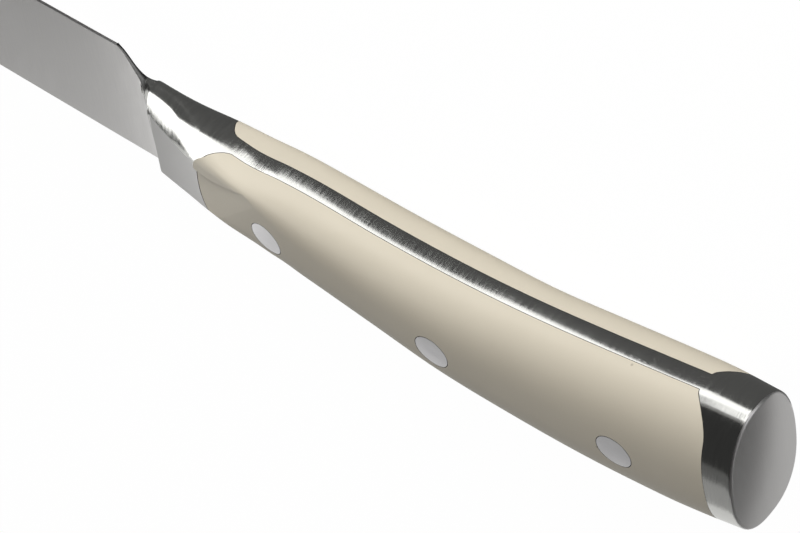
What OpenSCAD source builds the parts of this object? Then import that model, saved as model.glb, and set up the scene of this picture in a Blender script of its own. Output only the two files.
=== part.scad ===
// Carving knife lying on its side: the blade points along +X, its spine faces +Y and its right face +Z.
// One forging holds the blade, the bolster, the full tang and the butt cap. Two scales are riveted to it.

/* [Blade] */
// Length of the blade from the heel to the tip
blade_l = 200; // [160:1:240]
// Height of the blade at the heel
blade_h = 26.8; // [25:0.1:29]
// Amount by which the blade is lower where the tip's curve begins
blade_taper = 2.6; // [0:0.1:5]
// Thickness of the spine at the bolster
spine_t = 2.3; // [1.8:0.1:2.8]
// Thickness of the spine at the tip
spine_tip_t = 0.9; // [0.6:0.1:1.4]
// Thickness of the blade where the ground bevel begins
bevel_t = 0.5; // [0.4:0.05:0.7]
// Height of the ground bevel
bevel_h = 0.9; // [0.5:0.1:2]
// Thickness left at the cutting edge
edge_t = 0.1; // [0.06:0.02:0.2]
// Length of the curve that brings the edge up to the tip
tip_l = 72; // [45:1:90]
// Drop of the tip below the line of the spine
tip_drop = 4.5; // [1:0.5:8]
// Length over which the spine drops to the tip
spine_drop_l = 70; // [40:1:90]
// Height of the blunt end of the tip
tip_h = 0.4; // [0.3:0.1:0.8]

/* [Bolster] */
// Length of the bolster in front of the scales
bolster_l = 11.6; // [9:0.2:14]
// Distance from the bolster's front edge to the heel
heel_gap = 7.1; // [6.5:0.1:9]
// Length of the curved cut behind the heel
choil_l = 5.4; // [5:0.1:6.4]
// Height of the cut behind the heel
choil_rise = 5.4; // [4.5:0.1:6]
// Half thickness of the bolster at its front edge, beside the spine
facet_z = 3.2; // [2.8:0.1:3.6]
// Angle at which the ground flat widens to the rear
facet_angle = 8.9; // [8:0.1:10]
// Angle at which the ground flat leans in towards the edge
facet_lean = 2.6; // [0:0.1:4]
// Radius where the bolster's shoulder meets the blade
shoulder_r = 2.8; // [2.2:0.1:3.4]

/* [Handle] */
// Distance from the middle rivet to the front ends of the scales
grip_front_l = 54.1; // [50:0.1:60]
// Distance from the middle rivet to the butt face
grip_rear_l = 59; // [56:0.1:66]
// Height of the handle at the middle rivet
handle_h = 23.3; // [21:0.1:26]
// Thickness of the handle at the middle rivet
handle_w = 17.9; // [16:0.1:20]
// Height of the spine above the middle rivet
spine_rise = 4.85; // [4:0.05:5.5]
// Thickness of the tang between the scales
tang_t = 3.2; // [2.6:0.1:4]
// Angle at which the butt face leans
butt_lean = 5.1; // [0:0.1:8]
// Height of the crown of the butt face
butt_crown = 0.6; // [0.3:0.1:1.4]
// Radius of the edge round the butt face
butt_edge_r = 0.7; // [0.3:0.1:1.2]

/* [Scales] */
// Length of steel between the scales and the butt face, on the rivet line
cap_l = 3.6; // [2.8:0.1:6]
// Lean of the rear ends of the scales
scale_rear_lean = 6.5; // [3:0.1:9]
// Radius of the front corner beside the edge
front_corner_r = 3.8; // [3:0.1:6]
// Radius of the rear corner beside the edge
rear_corner_r = 4.8; // [4:0.1:6.5]
// Steel left under the front corner
front_inset = 0.15; // [0.1:0.05:0.5]
// Length over which that steel runs out to the rear
front_run = 4; // [2:0.5:7]
// Steel left under the rear corner
rear_inset = 0.25; // [0.1:0.05:0.5]
// Gap between the ends of the scales and the steel
joint_gap = 0.06; // [0.02:0.01:0.12]

/* [Rivets] */
// Distance between rivets along the handle
rivet_pitch = 37.3; // [34:0.1:40]
// Diameter of the rivet heads
rivet_d = 6.75; // [5.5:0.05:8]
// Diameter of the sleeve between the heads
sleeve_d = 4.6; // [4:0.1:5]
// Diameter of the pin in the sleeve
pin_d = 3; // [2.4:0.1:3.4]
// Depth of scale left under a rivet head
seat_h = 2.4; // [1.6:0.1:3]
// Drop of the front rivet below the middle one
front_rivet_drop = 0.8; // [0:0.1:2]
// Drop of the rear rivet below the middle one
rear_rivet_drop = 3.3; // [1:0.1:5]
// Radial gap round heads, sleeves and pins
rivet_gap = 0.03; // [0.01:0.01:0.06]

/* [Hidden] */
// Extra length of each cutting body
overrun = 5;
// Points round each handle section, and steps along curves
sides = 48;
arc_steps = 12;
blade_steps = 36;
// Named places along the knife, measured from the middle rivet
bolster_x = grip_front_l + bolster_l;
heel_x = bolster_x + heel_gap;
choil_x = heel_x - choil_l;
tip_x = heel_x + blade_l;
shoulder_x = bolster_x + shoulder_r;
heel_y = spine_rise - blade_h;

// Stations of the handle, as shares of the rear and the front length
rear_shares = [-1, -0.87, -0.75, -0.5, -0.25];
front_shares = [0, 0.28, 0.55, 0.68, 0.83];
// Stations of the bolster, as shares of its length
bolster_shares = [0, 0.5];
station_x = concat(rear_shares * grip_rear_l, front_shares * grip_front_l,
                   [for (s = bolster_shares) grip_front_l + s * bolster_l], [choil_x]);
// Depth of the belly below the rivet line and rise of the back, as shares of the handle's height
belly_shares = [0.975, 0.935, 0.87, 0.735, 0.62, 0.545, 0.515, 0.522, 0.503, 0.465, 0.555, 0.665];
back_shares = [0.235, 0.32, 0.37, 0.456, 0.487, 0.457, 0.388, 0.33, 0.3, 0.26];
// Half thickness, as shares of the handle's thickness
half_shares = [0.492, 0.51, 0.516, 0.514, 0.5, 0.5, 0.473, 0.432, 0.394, 0.346, 0.293, 0.244, 0.2];
// Level of the widest line, as shares of the handle's height
wide_shares = [-0.37, -0.3, -0.235, -0.115, -0.045, -0.035, -0.1, -0.186, -0.281, -0.341, -0.332,
               -0.257, -0.211];
// How square the sections are beside the edge and beside the back
belly_power = [2.3, 2.4, 2.5, 2.6, 2.6, 2.7, 2.7, 2.8, 3.1, 3.8, 2.5, 1.9, 2];
back_power = [2.4, 2.4, 2.5, 2.5, 2.6, 2.7, 2.8, 3.2, 4.2, 7.7, 20, 20, 20];
belly_y = concat(belly_shares * -handle_h, [heel_y + choil_rise]);
back_y = concat(back_shares * handle_h, [spine_rise, spine_rise, spine_rise]);
half_z = half_shares * handle_w;
wide_y = wide_shares * handle_h;

// A smooth curve through points, with slopes taken from the neighbours
function span(x, xs, i = 0) = i >= len(xs) - 2 || x < xs[i + 1] ? i : span(x, xs, i + 1);
function slope(xs, ys, i) =
    let (a = max(i - 1, 0), b = min(i + 1, len(xs) - 1))
    (ys[b] - ys[a]) / (xs[b] - xs[a]);
function hermite(t, a, b, sa, sb) =
    a * (1 + 2 * t) * pow(1 - t, 2) + sa * t * pow(1 - t, 2)
    + b * t * t * (3 - 2 * t) + sb * t * t * (t - 1);
function smooth(x, xs, ys) =
    let (i = span(x, xs), h = xs[i + 1] - xs[i], t = min(max((x - xs[i]) / h, 0), 1))
    hermite(t, ys[i], ys[i + 1], slope(xs, ys, i) * h, slope(xs, ys, i + 1) * h);
function ease(t) = let (s = min(max(t, 0), 1)) s * s * (3 - 2 * s);

// Lower outline of the bolster and the handle, and the curved cut behind the heel
function choil(x) = heel_y + choil_rise * ease((heel_x - x) / choil_l);
function belly(x) = x > choil_x ? choil(x) : smooth(x, station_x, belly_y);
function back(x) = smooth(x, station_x, back_y);
// Half thickness, with the hollow shoulder down to the blade
function shoulder(x) = spine_t / 2 + shoulder_r - sqrt(max(pow(shoulder_r, 2) - pow(shoulder_x - x, 2), 0));
function half(x) = x > bolster_x ? min(shoulder(x), half_full(x)) : half_full(x);
function half_full(x) = smooth(x, station_x, half_z);
function wide(x) = smooth(x, station_x, wide_y);
// Lean of the sections, which grows towards the butt
function lean(x) = tan(butt_lean) * ease(-x / grip_rear_l);

// One closed ring of points round the handle at x, drawn in by inset
function ring(x, inset = 0, out = 0) =
    let (yw = wide(x), down = yw - belly(x) - inset, up = back(x) - yw - inset, w = half(x) - inset,
         pd = smooth(x, station_x, belly_power), pu = smooth(x, station_x, back_power))
    [for (k = [0 : sides - 1])
        let (a = 360 * (k + 0.5) / sides, c = cos(a), s = sin(a), p = c < 0 ? pd : pu,
             y = yw + (c < 0 ? -down : up) * pow(abs(c), 2 / p),
             z = w * sign(s) * pow(abs(s), 2 / p))
        [x - out - lean(x) * (y - yw), y, z]];
// Rings that close the butt: first the rounded edge, then the crown
function edge_ring(a) = ring(-grip_rear_l, butt_edge_r * (1 - cos(a)), butt_edge_r * sin(a));
function crown_ring(s) =
    let (r = ring(-grip_rear_l, butt_edge_r, butt_edge_r), x = -grip_rear_l,
         m = [x - butt_edge_r, wide(x), 0])
    [for (p = r) m + (p - m) * s - [butt_crown * (1 - s * s), 0, 0]];

// Places of the rings: close together at the shoulder and at the butt
shoulder_steps = 5;
bolster_steps = 5;
front_steps = 12;
rear_steps = 13;
ring_x = concat(
    [for (k = [0 : shoulder_steps]) shoulder_x - shoulder_r * (1 - pow(1 - k / shoulder_steps, 1.6))],
    [for (k = [1 : bolster_steps]) bolster_x - bolster_l * k / bolster_steps],
    [for (k = [1 : front_steps]) grip_front_l * (1 - k / front_steps)],
    [for (k = [1 : rear_steps]) -grip_rear_l * k / rear_steps]);
edge_angles = [30, 60, 90];
crown_shares = [0.8, 0.5, 0.2];
rings = concat([for (x = ring_x) ring(x)], [for (a = edge_angles) edge_ring(a)],
               [for (s = crown_shares) crown_ring(s)]);

// A closed skin over a row of rings with equal numbers of points
module skin(rows) {
    n = len(rows[0]);
    last = len(rows) - 1;
    points = [for (r = rows) for (p = r) p];
    walls = [for (i = [0 : last - 1]) for (k = [0 : n - 1])
        let (a = i * n + k, b = i * n + (k + 1) % n)
        each [[a, b, a + n], [b, b + n, a + n]]];
    front = [for (k = [n - 1 : -1 : 0]) k];
    rear = [for (k = [0 : n - 1]) last * n + k];
    polyhedron(points = points, faces = concat(walls, [front, rear]), convexity = 6);
}

// Blade outline at x: the spine, the top of the bevel and the edge, or the cut behind the heel
function spine_line(x) =
    spine_rise - (tip_drop - tip_h / 2) * pow(max(0, (x - tip_x + spine_drop_l) / spine_drop_l), 2);
function edge_line(x) =
    let (s = (x - heel_x) / blade_l, t = max(0, (x - tip_x + tip_l) / tip_l),
         straight = heel_y + blade_taper * s)
    x < heel_x ? choil(x)
    : straight + (spine_rise - tip_drop - tip_h / 2 - heel_y - blade_taper) * pow(t, 2.3);
function spine_half(x) =
    let (s = min(max((x - heel_x) / blade_l, 0), 1))
    (spine_t + (spine_tip_t - spine_t) * pow(s, 1.5)) / 2;
function blade_ring(x) =
    let (top = spine_line(x), low = edge_line(x), h = top - low, b = min(bevel_h, h / 3),
         full = x < heel_x ? blade_h : h, zs = spine_half(x),
         zb = bevel_t / 2 * min(1, zs * 2 / spine_tip_t), zt = zs + (zb - zs) * (h - b) / full,
         ze = x < heel_x ? zs + (zb - zs) * h / full : edge_t / 2)
    [[x, top, -zs], [x, top, zs], [x, low + b, zt], [x, low, ze], [x, low, -ze], [x, low + b, -zt]];
blade_x = concat(
    [for (k = [0 : arc_steps]) bolster_x + heel_gap * k / arc_steps],
    [for (k = [1 : blade_steps]) heel_x + blade_l * (1 - pow(1 - k / blade_steps, 1.6))]);
module blade() {
    skin([for (i = [len(blade_x) - 1 : -1 : 0]) blade_ring(blade_x[i])]);
}

// Mirrors its children to the left side as well
module both_sides() {
    children();
    mirror([0, 0, 1]) children();
}
// Lower border of the flat ground on each side: it stops at a ridge, which differs on steel and scale.
// Places are shares of the bolster's length, from the scale's front end.
// Depths are shares of the handle's height.
steel_place_shares = [-0.05, 0.13, 0.43, 0.77, 0.94, 1.05, 1.2];
steel_depth_shares = [0.356, 0.358, 0.386, 0.44, 0.495, 0.57, 0.7];
scale_place_shares = [-2.4, -1.75, -1.3, -1, -0.72, -0.41, -0.2, 0];
scale_depth_shares = [0.59, 0.51, 0.45, 0.39, 0.335, 0.29, 0.275, 0.27];
function border(places, depths, from, to) =
    [for (k = [0 : arc_steps])
        let (s = from + (to - from) * k / arc_steps)
        [(s - 1) * bolster_l / cos(facet_angle), -smooth(s, places, depths) * handle_h - spine_rise]];
flat_border = concat(border(scale_place_shares, scale_depth_shares, scale_place_shares[0], 0),
                     border(steel_place_shares, steel_depth_shares, 0, steel_place_shares[6]));
// Block that grinds the flat and fades out on the scale
module flat_cutter() {
    front = flat_border[len(flat_border) - 1];
    translate([bolster_x, spine_rise, facet_z])
        rotate([atan(tan(facet_lean) * cos(facet_angle)), facet_angle, 0])
        linear_extrude(handle_w)
        polygon(concat(flat_border, [[front[0], handle_h], [flat_border[0][0], handle_h]]));
}
// The grip as one body, before it is split into steel and scales
module grip() {
    difference() {
        skin(rings);
        both_sides() flat_cutter();
    }
}

// Side outline of a scale, open past the belly and the back, drawn in by gap at its ends
function arc(cx, cy, r, from, to) =
    [for (k = [0 : arc_steps])
        let (a = from + (to - from) * k / arc_steps)
        [cx + r * cos(a), cy + r * sin(a)]];
function scale_outline(gap) =
    let (fx = grip_front_l - gap, fr = front_corner_r, fcx = grip_front_l - fr,
         fcy = belly(fcx) + front_inset + fr,
         rr = rear_corner_r, rx = -grip_rear_l + cap_l, lean_t = tan(scale_rear_lean),
         rcy = belly(rx + rr) + rear_inset + rr, rcx = rx - lean_t * rcy + rr / cos(scale_rear_lean),
         top = handle_h)
    concat([[fx, top]], arc(fcx, fcy, fr - gap, 0, -90),
           [[fcx - front_run, belly(fcx - front_run) - front_inset], [0, -top], [rcx / 2, -top - overrun]],
           arc(rcx, rcy, rr - gap, -95, -180 + scale_rear_lean),
           [[rx - lean_t * top + gap, top]]);
module scale_space(gap) {
    translate([0, 0, tang_t / 2]) linear_extrude(handle_w) polygon(scale_outline(gap));
}

// Centres of the three rivets
rivet_places = [[rivet_pitch, -front_rivet_drop], [0, 0], [-rivet_pitch, -rear_rivet_drop]];
seat_z = tang_t / 2 + seat_h;
module rod(d, from, to) {
    translate([0, 0, from]) cylinder(d = d, h = to - from, $fn = 64);
}
// Stepped holes for all rivets, right through the grip
module rivet_holes() {
    for (p = rivet_places) translate([p[0], p[1], 0]) {
        rod(sleeve_d + 2 * rivet_gap, -handle_w, handle_w);
        both_sides() rod(rivet_d + 2 * rivet_gap, seat_z, handle_w);
    }
}
// Half of a rivet: a head cut flush with the scale, and its shank
module rivet_head(i) {
    intersection() {
        translate([rivet_places[i][0], rivet_places[i][1], 0]) rod(rivet_d, seat_z, handle_w);
        grip();
    }
}
module rivet_pin(i) {
    color("silver") lay_down() {
        rivet_head(i);
        translate([rivet_places[i][0], rivet_places[i][1], 0])
            rod(pin_d, -seat_z + 2 * rivet_gap, seat_z + pin_d / 2);
    }
}
module rivet_sleeve(i) {
    color("silver") lay_down() difference() {
        union() {
            mirror([0, 0, 1]) rivet_head(i);
            translate([rivet_places[i][0], rivet_places[i][1], 0])
                rod(sleeve_d, -seat_z - pin_d / 2, seat_z - rivet_gap);
        }
        translate([rivet_places[i][0], rivet_places[i][1], 0])
            rod(pin_d + 2 * rivet_gap, -seat_z, handle_w);
    }
}

// The knife lies with its box centred on the origin and its left side down
low_x = -grip_rear_l - butt_edge_r - butt_crown;
high_y = max([for (x = ring_x) back(x)]);
low_y = min(heel_y, min([for (x = ring_x) belly(x)]));
deep_z = max([for (x = ring_x) half(x)]);
module lay_down() {
    translate([-(low_x + tip_x) / 2, -(low_y + high_y) / 2, deep_z]) children();
}

module forged_blade() {
    color("gainsboro") lay_down() difference() {
        union() {
            blade();
            difference() {
                grip();
                both_sides() scale_space(0);
            }
        }
        for (p = rivet_places)
            translate([p[0], p[1], 0]) rod(sleeve_d + 2 * rivet_gap, -handle_w, handle_w);
    }
}
module scale_half() {
    difference() {
        intersection() {
            grip();
            scale_space(joint_gap);
        }
        rivet_holes();
    }
}
module right_scale() {
    color("ivory") lay_down() scale_half();
}
module left_scale() {
    color("ivory") lay_down() mirror([0, 0, 1]) scale_half();
}

forged_blade();
right_scale();
left_scale();
rivet_pin(0);  // front_rivet_pin
rivet_sleeve(0);  // front_rivet_sleeve
rivet_pin(1);  // middle_rivet_pin
rivet_sleeve(1);  // middle_rivet_sleeve
rivet_pin(2);  // rear_rivet_pin
rivet_sleeve(2);  // rear_rivet_sleeve
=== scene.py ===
import math
import bpy
import bmesh
import numpy as np
from mathutils import Matrix, Vector


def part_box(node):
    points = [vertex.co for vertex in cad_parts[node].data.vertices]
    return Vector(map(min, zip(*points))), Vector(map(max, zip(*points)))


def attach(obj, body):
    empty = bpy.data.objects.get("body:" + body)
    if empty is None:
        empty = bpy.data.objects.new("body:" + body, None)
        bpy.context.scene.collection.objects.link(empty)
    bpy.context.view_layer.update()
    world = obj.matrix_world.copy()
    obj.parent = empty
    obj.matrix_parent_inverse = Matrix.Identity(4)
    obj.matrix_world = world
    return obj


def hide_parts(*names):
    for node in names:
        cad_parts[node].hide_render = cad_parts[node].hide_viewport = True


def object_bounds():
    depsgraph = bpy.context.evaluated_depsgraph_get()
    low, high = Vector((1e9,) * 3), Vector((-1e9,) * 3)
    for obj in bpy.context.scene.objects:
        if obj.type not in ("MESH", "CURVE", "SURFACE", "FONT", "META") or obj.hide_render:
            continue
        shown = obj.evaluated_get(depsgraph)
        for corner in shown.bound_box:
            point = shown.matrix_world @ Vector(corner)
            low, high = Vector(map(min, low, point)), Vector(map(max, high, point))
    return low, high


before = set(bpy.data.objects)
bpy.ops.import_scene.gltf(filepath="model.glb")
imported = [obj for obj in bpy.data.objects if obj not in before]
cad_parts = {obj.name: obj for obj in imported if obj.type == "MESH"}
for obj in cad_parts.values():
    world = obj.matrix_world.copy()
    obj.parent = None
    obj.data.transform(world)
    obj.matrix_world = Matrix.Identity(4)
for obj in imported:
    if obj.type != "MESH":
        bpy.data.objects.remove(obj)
cad_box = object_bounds()

# Grip form
# The steel bolster, tang and butt cap are ground to one smooth shape together with the two riveted scales.
# Everything below cuts its own piece out of this form. Lengths are in millimetres from the middle rivet.
MM = 0.001
grip_front_l = 54.1
grip_rear_l = 59.0
bolster_l = 11.6
heel_gap = 7.1
spine_rise = 4.85
handle_h = 23.3
handle_w = 17.9
blade_h = 26.8
choil_l = 5.4
choil_rise = 5.4
butt_lean = math.radians(5.1)
butt_edge_r = 0.7
butt_crown = 0.6
spine_t = 2.3
shoulder_r = 2.8
bolster_x = grip_front_l + bolster_l
heel_x = bolster_x + heel_gap
choil_x = heel_x - choil_l
shoulder_x = bolster_x + shoulder_r
heel_y = spine_rise - blade_h

rear_shares = [-1, -0.87, -0.75, -0.5, -0.25]
front_shares = [0, 0.28, 0.55, 0.68, 0.83]
station_x = [s * grip_rear_l for s in rear_shares] + [s * grip_front_l for s in front_shares]
station_x += [grip_front_l, grip_front_l + 0.5 * bolster_l, choil_x]
belly_shares = [0.975, 0.935, 0.87, 0.735, 0.62, 0.545, 0.515, 0.522, 0.503, 0.465, 0.555, 0.665]
back_shares = [0.235, 0.32, 0.37, 0.456, 0.487, 0.457, 0.388, 0.33, 0.3, 0.26]
half_shares = [0.492, 0.51, 0.516, 0.514, 0.5, 0.5, 0.473, 0.432, 0.394, 0.346, 0.293, 0.244, 0.2]
wide_shares = [-0.37, -0.3, -0.235, -0.115, -0.045, -0.035, -0.1, -0.186, -0.281, -0.341, -0.332,
               -0.257, -0.211]
belly_power = [2.3, 2.4, 2.5, 2.6, 2.6, 2.7, 2.7, 2.8, 3.1, 3.8, 2.5, 1.9, 2]
back_power = [2.4, 2.4, 2.5, 2.5, 2.6, 2.7, 2.8, 3.2, 4.2, 7.7, 20, 20, 20]
belly_y = [-s * handle_h for s in belly_shares] + [heel_y + choil_rise]
back_y = [s * handle_h for s in back_shares] + [spine_rise] * 3
half_z = [s * handle_w for s in half_shares]
wide_y = [s * handle_h for s in wide_shares]


def smooth(x, xs, ys):
    """A soft curve through the stations."""
    last = len(xs) - 1
    i = min(max(int(np.searchsorted(xs, x, side="right")) - 1, 0), last - 1)
    step = xs[i + 1] - xs[i]
    t = min(max((x - xs[i]) / step, 0), 1)

    def slope(k):
        a = max(k - 1, 0)
        b = min(k + 1, last)
        return (ys[b] - ys[a]) / (xs[b] - xs[a])

    rise = ys[i] * (1 + 2 * t) * (1 - t) ** 2 + ys[i + 1] * t * t * (3 - 2 * t)
    return rise + step * t * (1 - t) * (slope(i) * (1 - t) - slope(i + 1) * t)


def ease(t):
    t = min(max(t, 0), 1)
    return t * t * (3 - 2 * t)


def belly(x):
    """Lowest height of the steel at x, along the handle's belly and up round the cut behind the heel."""
    if x > choil_x:
        return heel_y + choil_rise * ease((heel_x - x) / choil_l)
    return smooth(x, station_x, belly_y)


def shoulder(x):
    """Half thickness of the bolster's front, where it runs into the blade in a hollow curve."""
    return spine_t / 2 + shoulder_r - math.sqrt(max(shoulder_r ** 2 - (shoulder_x - x) ** 2, 0))


ring_points = 168
skin_depth = 0.03
angles = np.linspace(0, 2 * np.pi, 1441)[:-1]


def ring(x, inset=0.0, out=0.0):
    """Points evenly spaced round the handle's section at x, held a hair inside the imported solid."""
    inset += skin_depth
    yw = smooth(x, station_x, wide_y)
    width = smooth(x, station_x, half_z)
    if x > bolster_x:
        width = min(width, shoulder(x))
    down = yw - belly(x) - inset
    up = smooth(x, station_x, back_y) - yw - inset
    c = np.cos(angles)
    s = np.sin(angles)
    power = np.where(c > 0, smooth(x, station_x, belly_power), smooth(x, station_x, back_power))
    y = yw + np.where(c > 0, -down, up) * np.abs(c) ** (2 / power)
    z = (width - inset) * np.sign(s) * np.abs(s) ** (2 / power)
    loop_y = np.append(y, y[0])
    loop_z = np.append(z, z[0])
    run = np.append(0, np.cumsum(np.hypot(np.diff(loop_y), np.diff(loop_z))))
    at = np.linspace(0, run[-1], ring_points + 1)[:-1]
    y = np.interp(at, run, loop_y)
    z = np.interp(at, run, loop_z)
    lean = math.tan(butt_lean) * ease(-x / grip_rear_l)
    return np.stack([x - out - lean * (y - yw), y, z], axis=1)


def butt_rings():
    """The rounded edge of the butt and its crowned face."""
    edge = [ring(-grip_rear_l, butt_edge_r * (1 - math.cos(a)), butt_edge_r * math.sin(a))
            for a in np.radians([15, 30, 45, 60, 75, 90])]
    rim = edge[-1]
    middle = np.array([-grip_rear_l - butt_edge_r, smooth(-grip_rear_l, station_x, wide_y), 0])
    crown = [middle + (rim - middle) * s - np.array([butt_crown * (1 - s * s), 0, 0])
             for s in (0.92, 0.8, 0.65, 0.5, 0.35, 0.2, 0.08)]
    return edge + crown


def knife_place():
    """Where the middle rivet's axis and the knife's mid-plane lie in the model, in metres."""
    low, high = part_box("middle_rivet_pin")
    steel_low, steel_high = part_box("forged_blade")
    return Vector(((low[0] + high[0]) / 2, (low[1] + high[1]) / 2, (steel_low[2] + steel_high[2]) / 2))


origin = knife_place()


def add_object(name, mesh):
    made = bpy.data.objects.new(name, mesh)
    bpy.context.scene.collection.objects.link(made)
    return made


def skin(name, rows):
    """A closed mesh over a row of rings, placed on the knife."""
    count = len(rows[0])
    points = np.concatenate(rows) * MM + np.array(origin)
    faces = []
    for i in range(len(rows) - 1):
        for k in range(count):
            a = i * count + k
            b = i * count + (k + 1) % count
            faces.append((a, a + count, b + count, b))
    faces.append(tuple(range(count)))
    faces.append(tuple(reversed(range((len(rows) - 1) * count, len(rows) * count))))
    mesh = bpy.data.meshes.new(name)
    mesh.from_pydata(points.tolist(), [], faces)
    return add_object(name, mesh)


sculpted_end_x = 26
cap_start_x = -50
grip_x = np.concatenate([
    np.linspace(shoulder_x, bolster_x, 18),
    np.linspace(bolster_x - 0.3, sculpted_end_x, 100),
    np.linspace(sculpted_end_x - 1, cap_start_x, 64),
    np.linspace(cap_start_x - 0.8, -grip_rear_l, 14)])
grip_form = skin("grip_form", [ring(x) for x in grip_x] + butt_rings())
grip_form.data.materials.append(bpy.data.materials.new("bare"))


def prism(name, outline, low, high):
    """A straight block with a side outline, from height low to high above the mid-plane."""
    count = len(outline)
    points = [(x, y, z) for z in (low, high) for x, y in outline]
    faces = [tuple(reversed(range(count))), tuple(range(count, 2 * count))]
    faces += [(k, (k + 1) % count, count + (k + 1) % count, count + k) for k in range(count)]
    mesh = bpy.data.meshes.new(name)
    mesh.from_pydata([tuple(c * MM for c in p) for p in points], [], faces)
    made = add_object(name, mesh)
    made.location = origin
    fix = bmesh.new()
    fix.from_mesh(mesh)
    bmesh.ops.recalc_face_normals(fix, faces=fix.faces)
    fix.to_mesh(mesh)
    fix.free()
    return made


def carve(target, tools, operation="DIFFERENCE"):
    """Cuts target with each tool for good, keeping the tool's material on the cut, and drops the tools."""
    for tool in tools:
        cut = target.modifiers.new("cut", "BOOLEAN")
        cut.solver = "EXACT"
        cut.material_mode = "TRANSFER"
        cut.operation = operation
        cut.object = tool
    graph = bpy.context.evaluated_depsgraph_get()
    result = bpy.data.meshes.new_from_object(target.evaluated_get(graph))
    target.modifiers.clear()
    target.data = result
    for tool in tools:
        bpy.data.objects.remove(tool)


# Ground flats
# On both sides the bolster and the front of each scale are ground flat together, up to a ridge by the belly.
# The ridge stands off the steel a little and steps where steel and scale meet.
facet_z = 3.2
facet_angle = math.radians(8.9)
facet_lean = math.radians(2.6)
steel_place = [-0.05, 0.13, 0.43, 0.77, 0.94, 1.05, 1.2]
steel_depth = [0.356, 0.358, 0.386, 0.44, 0.495, 0.57, 0.7]
scale_place = [-2.4, -1.75, -1.3, -1, -0.72, -0.41, -0.2, 0]
scale_depth = [0.59, 0.51, 0.45, 0.39, 0.335, 0.29, 0.275, 0.27]
border_steps = 33


def ridge(places, depths, start, end):
    """Line of the ridge, in the flat's own plane, over a share of the bolster's length."""
    return [((s - 1) * bolster_l / math.cos(facet_angle), -smooth(s, places, depths) * handle_h - spine_rise)
            for s in np.linspace(start, end, border_steps)]


def flat_cutter(side):
    outline = ridge(scale_place, scale_depth, scale_place[0], 0)
    outline += ridge(steel_place, steel_depth, 0, steel_place[-1])
    outline += [(outline[-1][0], handle_h), (outline[0][0], handle_h)]
    block = prism("flat_cutter", outline, 0, handle_w)
    tilt = math.atan(math.tan(facet_lean) * math.cos(facet_angle))
    turn = Matrix.Rotation(facet_angle, 4, "Y") @ Matrix.Rotation(tilt, 4, "X")
    place = Matrix.Translation(Vector((bolster_x, spine_rise, facet_z)) * MM)
    flip = Matrix.Scale(side, 4, (0, 0, 1))
    block.location = (0, 0, 0)
    block.data.transform(Matrix.Translation(origin) @ flip @ place @ turn)
    if side < 0:
        block.data.flip_normals()
    return block


carve(grip_form, [flat_cutter(1), flat_cutter(-1)])


# Forged steel
# Blade, bolster, full tang and butt cap are one stainless forging, part ground satin and part polished.
# The tang shows as a strip along the belly and the back, between the scales.
tang_t = 3.2
cap_l = 3.6
scale_rear_lean = math.radians(6.5)
front_corner_r = 4.9
rear_corner_r = 4.8
front_inset = 0.15
rear_inset = 0.25
front_edge = [(52, 5.7), (52.7, 4.8), (53.1, 4.1), (53.55, 3.35), (53.9, 2.6), (54.25, 1.1), (54.45, -0.5),
              (54.5, -2.2), (54.4, -4), (54.25, -5.4)]
right_flare = [(47.3, 1.55), (48, 1.75), (48.8, 2.2), (49.4, 2.7), (50, 3.25), (50.5, 3.75), (51.1, 4.35),
               (51.6, 4.9)]
left_flare = [(48.6, 1.55), (49.2, 1.62), (49.7, 1.8), (50.2, 2.2), (50.6, 2.7), (50.9, 3.2), (51.2, 3.8),
              (51.6, 4.9)]
flare_y = -10.9
flare_h = 6


def arc(cx, cy, r, start, end, steps=24):
    return [(cx + r * math.cos(a), cy + r * math.sin(a)) for a in np.radians(np.linspace(start, end, steps))]


def scale_outline(gap):
    """Side outline of a scale's pocket in the steel, or of the scale when it is drawn in by a gap."""
    lean = math.tan(scale_rear_lean)
    front_cx = grip_front_l - front_corner_r
    front_cy = belly(front_cx) + front_inset + front_corner_r
    rear_x = -grip_rear_l + cap_l
    rear_cy = belly(rear_x + rear_corner_r) + rear_inset + rear_corner_r
    rear_cx = rear_x - lean * rear_cy + rear_corner_r / math.cos(scale_rear_lean)
    beyond = handle_h
    points = [(front_edge[0][0] - 3 * gap, beyond)] + [(x - 3 * gap, y) for x, y in front_edge]
    points += arc(front_cx, front_cy, front_corner_r - 0.4 * gap, -4, -60)
    points += [(points[-1][0] - 0.3, points[-1][1] - 1.5), (0, -beyond), (rear_cx / 2, -beyond - 5)]
    points += arc(rear_cx, rear_cy, rear_corner_r - gap, -95, -180 + math.degrees(scale_rear_lean))
    points += [(rear_x - lean * beyond + gap, beyond)]
    return points


def copy_of(source, name):
    made = source.copy()
    made.data = source.data.copy()
    made.name = name
    bpy.context.scene.collection.objects.link(made)
    return made


def new_material(name):
    """A material with its node tree and its shader."""
    mat = bpy.data.materials.new(name)
    mat.use_nodes = True
    return mat, mat.node_tree, mat.node_tree.nodes["Principled BSDF"]


# Near-black joint colour: partly dirt, partly painted shade that darkens the hairline gaps and the rivet
# seats.
joint_dirt_and_shade, _, shader = new_material("joint_dirt_and_shade")
shader.inputs["Base Color"].default_value = (0.035, 0.033, 0.03, 1)
shader.inputs["Roughness"].default_value = 0.8


def span(side, base):
    """Heights from base out past the handle, on the right side or on the left."""
    return (base, handle_w) if side > 0 else (-handle_w, -base)


def pocket(side, gap):
    """The room that a scale takes, without the flare of steel round its front corner. Its walls carry the
    joint's near-black colour, part dirt and part painted shade.
    """
    made = prism("pocket", scale_outline(gap), *span(side, tang_t / 2 + gap * 1.6))
    made.data.materials.append(joint_dirt_and_shade)
    flare = [(x - gap, side * (z + 1.6 * gap)) for x, z in (right_flare if side > 0 else left_flare)]
    flare = [(flare[0][0], 0)] + flare + [(flare[-1][0], 0)]
    corner = prism("flare", flare, -flare_y, -flare_y + flare_h)
    corner.data.transform(Matrix.Rotation(math.pi / 2, 4, "X"))
    corner.data.materials.append(joint_dirt_and_shade)
    carve(made, [corner])
    return made


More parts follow.
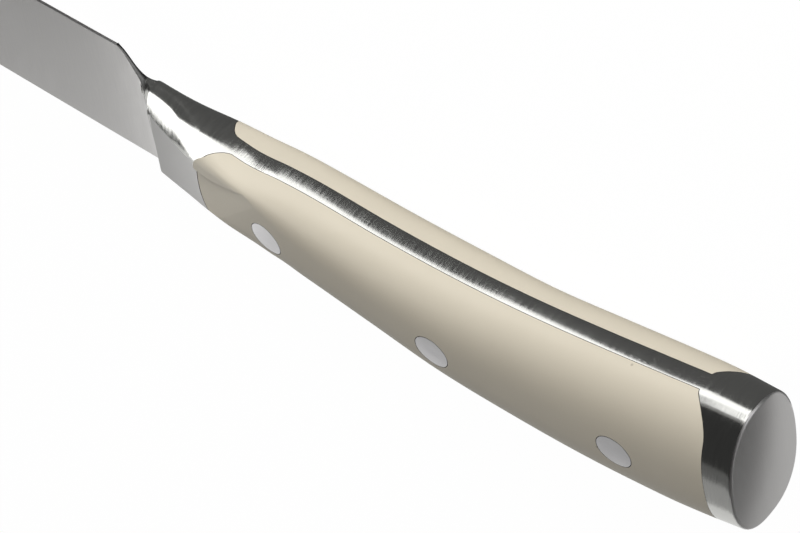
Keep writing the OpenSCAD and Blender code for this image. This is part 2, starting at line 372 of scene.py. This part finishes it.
grip_steel = copy_of(grip_form, "bolster_tang_and_butt")
carve(grip_steel, [pocket(1, 0), pocket(-1, 0)])

# Behind the heel the steel rolls over from the blade's flat to the belly and widens into the bolster.
bevel_t = 0.5
roll_x = [65.6, 66.5, 67.4, 67.9, 68.6, 69.5, 70.4, 71.5, 72.8]
roll_y = [-11, -12.2, -13.6, -14.9, -16, -17.1, -18.8, -20.6, -21.9]
roll_z = [3.1, 1.95, 1.25, 0.9, 0.6, 0.42, 0.32, 0.28, 0.25]
roll_reach = 3
roll_tuck = 0.02
roll_sink = 0.05
roll_sink_x = 70.5
roll_sink_l = 2


def roll_ring(x):
    """Section of the roll at x. It is rounded below and drawn out into the blade's flat above."""
    y = smooth(x, roll_x, roll_y)
    z = smooth(x, roll_x, roll_z)
    low = belly(x) + roll_tuck - roll_sink * ease((roll_sink_x - x) / roll_sink_l)
    flat_z = spine_t / 2 - (spine_t - bevel_t) / 2 * (spine_rise - y - roll_reach) / blade_h - roll_tuck
    half = [(low + (y - low) * t * t, z * t * (1 - t) + z * t * t) for t in np.linspace(0, 1, 12)]
    half.append((y + roll_reach, flat_z))
    loop = half + [(b, -c) for b, c in reversed(half[1:])]
    return np.array([[x, b, c] for b, c in loop])


roll = skin("choil_roll", [roll_ring(x) for x in np.linspace(heel_x, roll_x[0], 60)])

# The blade tapers to the edge and to the tip, and a narrow ground bevel runs along the edge.
blade_l = 200.0
blade_taper = 2.6
spine_tip_t = 0.9
bevel_h = 0.3
edge_t = 0.1
tip_l = 72.0
tip_drop = 4.5
spine_drop_l = 70.0
tip_h = 0.4
edge_sweep = 2.3
taper_curve = 1.5
roll_lap = 0.03
tip_x = heel_x + blade_l


def blade_ring(x):
    """Section of the blade at x. Behind the heel it ends in the roll instead of the bevel."""
    top = spine_rise - (tip_drop - tip_h / 2) * max(0, (x - tip_x + spine_drop_l) / spine_drop_l) ** 2
    along = min(max((x - heel_x) / blade_l, 0), 1)
    sweep = max(0, (x - tip_x + tip_l) / tip_l)
    low = heel_y + blade_taper * along
    low += (spine_rise - tip_drop - tip_h / 2 - heel_y - blade_taper) * sweep ** edge_sweep
    if x < heel_x:
        low = smooth(x, roll_x, roll_y) + roll_lap
    h = top - low
    b = min(bevel_h, h / 3)
    spine_z = (spine_t + (spine_tip_t - spine_t) * along ** taper_curve) / 2
    thin_z = bevel_t / 2 * min(1, spine_z * 2 / spine_tip_t)
    full = blade_h if x < heel_x else h
    bevel_z = spine_z + (thin_z - spine_z) * (h - b) / full
    edge_z = spine_z + (thin_z - spine_z) * h / full if x < heel_x else edge_t / 2
    return np.array([[x, top, -spine_z], [x, top, spine_z], [x, low + b, bevel_z], [x, low, edge_z],
                     [x, low, -edge_z], [x, low + b, -bevel_z]])


blade_x = np.concatenate([
    np.linspace(bolster_x, heel_x, 40),
    heel_x + blade_l * (1 - (1 - np.linspace(0.01, 1, 90)) ** 1.6)])
blade = skin("blade", [blade_ring(x) for x in blade_x])


def noise(tree, vector, scale, detail, roughness=0.5):
    made = tree.nodes.new("ShaderNodeTexNoise")
    made.inputs["Scale"].default_value = scale
    made.inputs["Detail"].default_value = detail
    made.inputs["Roughness"].default_value = roughness
    tree.links.new(vector, made.inputs["Vector"])
    return made.outputs["Fac"]


def spread(tree, value, low, high, start=0.0, end=1.0):
    """Map Range node that turns low to high into start to end."""
    made = tree.nodes.new("ShaderNodeMapRange")
    made.inputs["From Min"].default_value = low
    made.inputs["From Max"].default_value = high
    made.inputs["To Min"].default_value = start
    made.inputs["To Max"].default_value = end
    tree.links.new(value, made.inputs["Value"])
    return made


def reckon(tree, operation, first, second):
    """Math node on two values."""
    made = tree.nodes.new("ShaderNodeMath")
    made.operation = operation
    tree.links.new(first, made.inputs[0])
    tree.links.new(second, made.inputs[1])
    return made.outputs[0]


def grinding_marks():
    """Shared group: fine grinding lines and stray scratches, as a roughness, a shade and a normal."""
    group = bpy.data.node_groups.new("grinding_marks", "ShaderNodeTree")
    for label, value in (("Lines along X", 60.0), ("Lines along Y", 4000.0), ("Lines along Z", 4000.0),
                         ("Smoothest", 0.1), ("Roughest", 0.2), ("Depth", 0.1), ("Scratches", 0.3)):
        socket = group.interface.new_socket(label, in_out="INPUT", socket_type="NodeSocketFloat")
        socket.default_value = value
    for label, kind in (("Roughness", "NodeSocketFloat"), ("Shade", "NodeSocketFloat"),
                        ("Normal", "NodeSocketVector")):
        group.interface.new_socket(label, in_out="OUTPUT", socket_type=kind)
    nodes = group.nodes
    links = group.links
    given = nodes.new("NodeGroupInput")
    made = nodes.new("NodeGroupOutput")
    coord = nodes.new("ShaderNodeTexCoord")
    scale = nodes.new("ShaderNodeCombineXYZ")
    for axis in "XYZ":
        links.new(given.outputs["Lines along " + axis], scale.inputs[axis])
    stretch = nodes.new("ShaderNodeVectorMath")
    stretch.operation = "MULTIPLY"
    links.new(coord.outputs["Object"], stretch.inputs[0])
    links.new(scale.outputs[0], stretch.inputs[1])
    lines = noise(group, stretch.outputs[0], 1.0, 5.0, 0.6)
    rough = spread(group, lines, 0.3, 0.7)
    links.new(given.outputs["Smoothest"], rough.inputs["To Min"])
    links.new(given.outputs["Roughest"], rough.inputs["To Max"])
    turn = nodes.new("ShaderNodeMapping")
    turn.inputs["Rotation"].default_value = (0.2, 0.5, 0.45)
    turn.inputs["Scale"].default_value = (120, 5200, 2400)
    links.new(coord.outputs["Object"], turn.inputs["Vector"])
    stray = spread(group, noise(group, turn.outputs["Vector"], 1.0, 1.0), 0.69, 0.76)
    scratches = reckon(group, "MULTIPLY", stray.outputs["Result"], given.outputs["Scratches"])
    total = reckon(group, "ADD", rough.outputs["Result"], scratches)
    links.new(total, made.inputs["Roughness"])
    links.new(spread(group, lines, 0.3, 0.7, 0.93, 1.0).outputs["Result"], made.inputs["Shade"])
    bump = nodes.new("ShaderNodeBump")
    bump.inputs["Distance"].default_value = 0.00006
    links.new(given.outputs["Depth"], bump.inputs["Strength"])
    links.new(reckon(group, "SUBTRACT", lines, scratches), bump.inputs["Height"])
    links.new(bump.outputs["Normal"], made.inputs["Normal"])
    return group


marks = grinding_marks()


def finish_steel(name, base, values):
    """Bare stainless steel, with the grinding marks set by the values."""
    mat, tree, shader = new_material(name)
    shader.inputs["Metallic"].default_value = 1.0
    finish = tree.nodes.new("ShaderNodeGroup")
    finish.node_tree = marks
    for label, value in values.items():
        finish.inputs[label].default_value = value
    tint = tree.nodes.new("ShaderNodeVectorMath")
    tint.operation = "SCALE"
    tint.inputs[0].default_value = base
    tree.links.new(finish.outputs["Shade"], tint.inputs["Scale"])
    tree.links.new(tint.outputs[0], shader.inputs["Base Color"])
    tree.links.new(finish.outputs["Roughness"], shader.inputs["Roughness"])
    tree.links.new(finish.outputs["Normal"], shader.inputs["Normal"])
    return mat


satin_steel = finish_steel("satin_steel", (0.7, 0.69, 0.69), {
    "Lines along X": 3000.0, "Lines along Y": 120.0, "Lines along Z": 3000.0,
    "Smoothest": 0.32, "Roughest": 0.42, "Depth": 0.035, "Scratches": 0.05})
flat_steel = finish_steel("flat_steel", (0.385, 0.38, 0.38), {
    "Lines along X": 120.0, "Lines along Y": 3000.0, "Lines along Z": 3000.0,
    "Smoothest": 0.3, "Roughest": 0.4, "Depth": 0.035, "Scratches": 0.05})
# The choil's near-black base colour is a painted dark reflection and painted shade, not a finish the steel
# has.
choil_painted_dark_steel = finish_steel("choil_painted_dark_steel", (0.1, 0.1, 0.1), {
    "Lines along X": 1500.0, "Lines along Y": 1500.0, "Lines along Z": 200.0,
    "Smoothest": 0.36, "Roughest": 0.5, "Depth": 0.1, "Scratches": 0.05})
polished_steel = finish_steel("polished_steel", (0.66, 0.66, 0.645), {
    "Lines along X": 3600.0, "Lines along Y": 260.0, "Lines along Z": 260.0,
    "Smoothest": 0.09, "Roughest": 0.2, "Depth": 0.27, "Scratches": 0.08})


def use_materials(mesh, mats):
    mesh.materials.clear()
    for mat in mats:
        mesh.materials.append(mat)


def dirt_and_shade_faces(mesh):
    """Which faces lie in a joint, so that they keep its near-black colour, part dirt and part painted shade.
    """
    return [mesh.materials[face.material_index] == joint_dirt_and_shade for face in mesh.polygons]


flat_start_x = 20
flat_level = 0.004
flat_turn = 0.02
butt_turn = -0.45
butt_face_l = 3
fillet_l = 0.2
fillet_low_y = -12.5


def paint_steel(piece):
    """Satin on the butt face and beside the blade, lines along the ground flats, and a polish on the rest."""
    mesh = piece.data
    dirt_and_shade_flags = dirt_and_shade_faces(mesh)
    use_materials(mesh, (polished_steel, satin_steel, joint_dirt_and_shade, flat_steel))
    flat = Vector((math.sin(facet_angle), -math.sin(facet_lean), math.cos(facet_angle))).normalized()
    for face, dirt_and_shade in zip(mesh.polygons, dirt_and_shade_flags):
        x = face.center.x - origin.x
        y = face.center.y - origin.y
        n = face.normal
        level = abs(abs(n.z) - flat.z) < flat_level and abs(n.x - flat.x) < flat_turn
        ground = level and x > flat_start_x * MM
        butt = n.x < butt_turn and x < -(grip_rear_l - butt_face_l) * MM
        fillet = x > (bolster_x - fillet_l) * MM and y > fillet_low_y * MM
        face.material_index = 2 if dirt_and_shade else 3 if ground else 1 if butt or fillet else 0


def round_shading(piece, degrees):
    """Smooth shading with crisp edges where the faces turn by more than the angle."""
    mesh = piece.data
    for face in mesh.polygons:
        face.use_smooth = True
    mesh.set_sharp_from_angle(angle=math.radians(degrees))
    even = piece.modifiers.new("even_normals", "WEIGHTED_NORMAL")
    even.keep_sharp = True


paint_steel(grip_steel)
round_shading(grip_steel, 13)

use_materials(blade.data, (satin_steel, polished_steel))
for face in blade.data.polygons:
    if abs(face.normal.z) < 0.3 and face.center.x < origin.x + heel_x * MM:
        face.material_index = 1
round_shading(blade, 4)

roll_bright_x = 67.2
satin_rise = 0.3
use_materials(roll.data, (polished_steel, satin_steel, choil_painted_dark_steel))
# On the roll's ground end, the faces below the satin line take the painted dark choil steel.
for face in roll.data.polygons:
    middle = face.center - origin
    if middle.x > roll_bright_x * MM:
        satin_y = smooth(middle.x / MM, roll_x, roll_y) + satin_rise
        face.material_index = 1 if middle.y / MM > satin_y else 2
round_shading(roll, 13)

for piece in (grip_steel, blade, roll):
    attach(piece, "root")
    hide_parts("forged_blade")


# Scales
# Two cream plastic scales, moulded and then ground flush with the steel, lie in shallow pockets of the tang.
# Three cutler's rivets hold them, and their ends meet the steel in a hair-line joint.
joint_line = 0.06
rivet_pitch = 37.3
rivet_d = 6.75
front_rivet_drop = 0.8
rear_rivet_drop = 3.3
ring_line = 0.12
seat_base = tang_t / 2 + 1
rivet_places = [(rivet_pitch, -front_rivet_drop), (0, 0), (-rivet_pitch, -rear_rivet_drop)]


def disc(radius, place, steps=96):
    return [(place[0] + radius * math.cos(a), place[1] + radius * math.sin(a))
            for a in np.linspace(0, 2 * math.pi, steps + 1)[:-1]]


def colour_mix(tree, factor, colour):
    """Mix node towards a colour, by a factor."""
    made = tree.nodes.new("ShaderNodeMix")
    made.data_type = "RGBA"
    made.inputs["B"].default_value = colour
    tree.links.new(factor, made.inputs["Factor"])
    return made


def cream_plastic():
    """Dense cream plastic with a soft sheen, faint clouds and a few tiny dark specks."""
    mat, tree, shader = new_material("cream_plastic")
    shader.inputs["Specular IOR Level"].default_value = 0.35
    place = tree.nodes.new("ShaderNodeTexCoord").outputs["Object"]
    tint = colour_mix(tree, noise(tree, place, 90.0, 6.0), (0.66, 0.605, 0.495, 1))
    tint.inputs["A"].default_value = (0.62, 0.565, 0.46, 1)
    dots = tree.nodes.new("ShaderNodeTexVoronoi")
    dots.inputs["Scale"].default_value = 95.0
    tree.links.new(place, dots.inputs["Vector"])
    speck = spread(tree, dots.outputs["Distance"], 0.016, 0.03, 0.45, 0.0)
    spotted = colour_mix(tree, speck.outputs["Result"], (0.22, 0.17, 0.12, 1))
    tree.links.new(tint.outputs["Result"], spotted.inputs["A"])
    tree.links.new(spotted.outputs["Result"], shader.inputs["Base Color"])
    fine = noise(tree, place, 1400.0, 3.0)
    sheen = spread(tree, fine, 0.0, 1.0, 0.36, 0.5)
    tree.links.new(sheen.outputs["Result"], shader.inputs["Roughness"])
    pores = tree.nodes.new("ShaderNodeBump")
    pores.inputs["Strength"].default_value = 0.08
    pores.inputs["Distance"].default_value = 0.00002
    tree.links.new(fine, pores.inputs["Height"])
    tree.links.new(pores.outputs["Normal"], shader.inputs["Normal"])
    return mat


cream = cream_plastic()
for side, node in ((1, "right_scale"), (-1, "left_scale")):
    scale = copy_of(grip_form, node + "_cream")
    carve(scale, [pocket(side, joint_line)], "INTERSECT")
    # The rivet seats' walls take the joint's near-black colour, partly dirt and partly painted shade.
    seats = [prism("seat", disc(rivet_d / 2 + ring_line, p), *span(side, seat_base)) for p in rivet_places]
    for seat in seats:
        seat.data.materials.append(joint_dirt_and_shade)
    carve(scale, seats)
    dirt_and_shade_flags = dirt_and_shade_faces(scale.data)
    use_materials(scale.data, (cream, joint_dirt_and_shade))
    for face, dirt_and_shade in zip(scale.data.polygons, dirt_and_shade_flags):
        face.material_index = 1 if dirt_and_shade else 0
    round_shading(scale, 13)
    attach(scale, "root")
    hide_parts(node)


# Rivets
# Three cutler's rivets, each a solid pin pressed into a sleeve. Their heads are ground flush with the scales.
# The pins' heads show on the right side and the sleeves' heads on the left.
rivet_metal = finish_steel("rivet_steel", (0.85, 0.84, 0.86), {
    "Lines along X": 300.0, "Lines along Y": 3000.0, "Lines along Z": 3000.0,
    "Smoothest": 0.34, "Roughest": 0.44, "Depth": 0.035, "Scratches": 0.1})
for name, place in zip(("front", "middle", "rear"), rivet_places):
    for side, half in ((1, "pin"), (-1, "sleeve")):
        head = prism(name + "_rivet_" + half + "_head", disc(rivet_d / 2, place), *span(side, seat_base))
        head.data.transform(Matrix.Translation(origin))
        head.location = (0, 0, 0)
        carve(head, [copy_of(grip_form, "form")], "INTERSECT")
        use_materials(head.data, [rivet_metal])
        round_shading(head, 25)
        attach(head, "root")
        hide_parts(name + "_rivet_" + half)

bpy.data.objects.remove(grip_form)


# Floor and light
# The knife lies on a white table in a white tent, lit by a broad soft light from the cutting edge's side.
# Black, grey and white cards round it give the steel its reflections, and only shiny surfaces see them.
floor_mesh = bpy.data.meshes.new("floor")
reach = 6.0
floor_mesh.from_pydata([(-reach, -reach, 0), (reach, -reach, 0), (reach, reach, 0), (-reach, reach, 0)],
                       [], [(0, 1, 2, 3)])
floor = add_object("floor", floor_mesh)
floor.location.z = cad_box[0][2] - 0.0002
table, tree, shader = new_material("white_table")
shader.inputs["Base Color"].default_value = (0.9, 0.9, 0.9, 1)
shader.inputs["Roughness"].default_value = 0.9
shader.inputs["Specular IOR Level"].default_value = 0.0
glow = tree.nodes.new("ShaderNodeEmission")
glow.inputs["Strength"].default_value = 1.03
seen = tree.nodes.new("ShaderNodeLightPath")
share = tree.nodes.new("ShaderNodeMath")
share.operation = "MULTIPLY_ADD"
share.inputs[1].default_value = 0.74
share.inputs[2].default_value = 0.21
mix = tree.nodes.new("ShaderNodeMixShader")
watched = reckon(tree, "MAXIMUM", seen.outputs["Is Camera Ray"], seen.outputs["Is Glossy Ray"])
tree.links.new(watched, share.inputs[0])
tree.links.new(share.outputs[0], mix.inputs["Fac"])
tree.links.new(shader.outputs[0], mix.inputs[1])
tree.links.new(glow.outputs[0], mix.inputs[2])
tree.links.new(mix.outputs[0], tree.nodes["Material Output"].inputs["Surface"])
floor_mesh.materials.append(table)

world = bpy.data.worlds.new("tent")
bpy.context.scene.world = world
world.use_nodes = True
world.node_tree.nodes["Background"].inputs["Color"].default_value = (1, 0.99, 0.97, 1)
world.node_tree.nodes["Background"].inputs["Strength"].default_value = 0.28

lamp = bpy.data.lights.new("edge_softbox", "AREA")
lamp.shape = "RECTANGLE"
lamp.size = 1.4
lamp.size_y = 0.3
lamp.energy = 8.2
softbox = add_object("edge_softbox", lamp)
softbox.location = (-0.1, -0.9, 0.15)
softbox.rotation_euler = (Vector((-0.1, 0, 0)) - softbox.location).to_track_quat("-Z", "Y").to_euler()
softbox.visible_glossy = False


def card(name, points, strength, faces=None):
    """A card that only shiny surfaces see, as a photographer sets it beside steel."""
    mesh = bpy.data.meshes.new(name)
    placed = [tuple(origin + Vector(p) * MM) for p in points]
    mesh.from_pydata(placed, [], faces or [tuple(range(len(points)))])
    made = add_object(name, mesh)
    paint, tree, shader = new_material(name)
    tree.nodes.remove(shader)
    light = tree.nodes.new("ShaderNodeEmission")
    light.inputs["Color"].default_value = (1, 1, 0.98, 1)
    light.inputs["Strength"].default_value = strength
    tree.links.new(light.outputs[0], tree.nodes["Material Output"].inputs["Surface"])
    mesh.materials.append(paint)
    made.visible_camera = False
    made.visible_diffuse = False
    made.visible_transmission = False
    made.visible_shadow = False


def standing(name, y, outline, strength):
    """A card that stands along the knife at y, with an outline in x and z."""
    card(name, [(x, y, z) for x, z in outline], strength)


def lying(name, z, outline, strength):
    """A card that lies level at z, with an outline in x and y."""
    card(name, [(x, y, z) for x, y in outline], strength)


def box_outline(left, right, low, high):
    return [(left, low), (right, low), (right, high), (left, high)]


dark = 0.1
white = 1.7
table_z = (floor.location.z - origin.z) / MM
front_y = -880
front_top = 270
front_turn = 440

# A dark card lies on the table along the belly, and a white one on from there to the tent's front.
dark_end = [(-75, -60), (-40, -57), (-24, -44), (-13.6, -37.1), (-8, -33.8), (-1, -32.3), (5, -31.1),
            (13, -32.7), (20, -33.4), (33, -33.6), (42, -30.6), (50, -27.5), (57, -24.5), (60, -23.6),
            (140, -23.6)]
count = len(dark_end)
sheet_z = table_z + 0.4
near = [(x, belly(min(max(x, -grip_rear_l), bolster_x)) + 8, sheet_z) for x, y in dark_end]
far = [(x, y, sheet_z) for x, y in dark_end]
off = [(x, front_y, sheet_z) for x, y in dark_end]
strips = [(k, k + 1, count + k + 1, count + k) for k in range(count - 1)]
card("dark_table_card", near + far, dark, strips)
card("white_table_card", far + off, white, strips)
standing("front_white_card", front_y, box_outline(-600, front_turn, table_z, front_top), white)
standing("front_grey_card", front_y, box_outline(front_turn, 1200, table_z, front_top), 0.8)

# Dark cards stand close beside the bolster and hide, as the steel sees it, part of a white one behind them.
# Another white one is held level over the blade.
standing("corner_dark_card", -17, [
    (44, table_z), (44, -2.6), (46, -3.2), (48, -3.1), (49, -1.7), (50.4, -1), (52.1, 0.2), (53.2, 1),
    (54.2, 1.7), (54.8, 2.6), (55.8, 3.8), (57.4, 5.1), (59.7, 7.2), (62, 9.8), (62, table_z)], dark)
beside_y = -23.5
standing("bolster_dark_card", beside_y, [
    (57, table_z), (57, 7.8), (60, 12), (66, 19.8), (72, 28), (80, 38.5), (90, 52), (107, 80), (110, 80),
    (110, table_z)], dark)
fade_l = 9
fade_h = 12
for step in range(5):
    start = 110 + step * fade_l
    top = 80 - step * fade_h
    standing("fading_dark_card", beside_y, [
        (start, table_z), (start, top), (start + fade_l, top - fade_h), (start + fade_l, table_z)],
        0.16 + step * 0.08)
standing("bolster_white_card", beside_y - 0.5, box_outline(52.5, 112, table_z, 110), 2.4)
lying("blade_white_card", 25, [
    (60, beside_y), (77, beside_y), (82, -18), (84, -10), (82, 0), (80, 28), (60, 28)], 2.3)

# The butt face looks down on two grey cards behind the knife.
behind_z = table_z + 0.6
lying("near_butt_card", behind_z, [(-59.5, -20), (-64, -20), (-84, 45), (-84, 200), (-59.5, 200)], 0.56)
lying("far_butt_card", behind_z, [(-64, -20), (-260, -20), (-260, 200), (-84, 200), (-84, 45)], 0.12)

# A low white card and tall grey ones stand on the spine's side, and a black one hangs over the handle.
wall_y = 500
wall_low = -20
roof_z = 400
grey_end = -150
grey_turn = 185
standing("spine_white_card", 30, [(62, table_z), (125, table_z), (125, 14), (95, 17), (62, 17)], 0.8)
standing("spine_grey_card", wall_y, box_outline(grey_turn, 1600, wall_low, roof_z), 0.7)
standing("butt_low_card", wall_y, box_outline(grey_end, grey_turn, wall_low, 180), 0.75)
standing("butt_high_card", wall_y, box_outline(grey_end, grey_turn, 180, roof_z - 5), 0.36)
lying("butt_fade_card", roof_z - 5, box_outline(grey_end, grey_turn, 280, wall_y), 0.14)
lying("butt_table_card", table_z + 0.5, box_outline(-57, grey_turn, 20, wall_y), 0.75)
standing("butt_dark_card", wall_y, box_outline(-1200, grey_end, wall_low, roof_z), 0.12)
lying("top_black_card", roof_z, box_outline(-1200, 1600, -850, 600), 0.04)

# Camera
# It stands behind the butt on the edge's side and looks along the handle to the blade, as the photograph
# does. Its place and its turn were solved from the photograph.
sensor_w = 36
focal_l = 2916.5
picture_w = 800
camera = bpy.data.cameras.new("camera")
camera.sensor_width = sensor_w
camera.lens = focal_l / picture_w * sensor_w
camera_place = Vector((-198.49, -389.19, 203.06))
right = Vector((-0.7769, 0.0991, -0.6218))
ahead = Vector((0.437, 0.7958, -0.4191)).normalized()
right = (right - ahead * right.dot(ahead)).normalized()
up = right.cross(ahead)
turn = Matrix((right, up, -ahead)).transposed()
camera_object = add_object("camera", camera)
camera_object.matrix_world = Matrix.Translation(origin + camera_place * MM) @ turn.to_4x4()
bpy.context.scene.camera = camera_object
bpy.context.scene.view_settings.view_transform = "Standard"
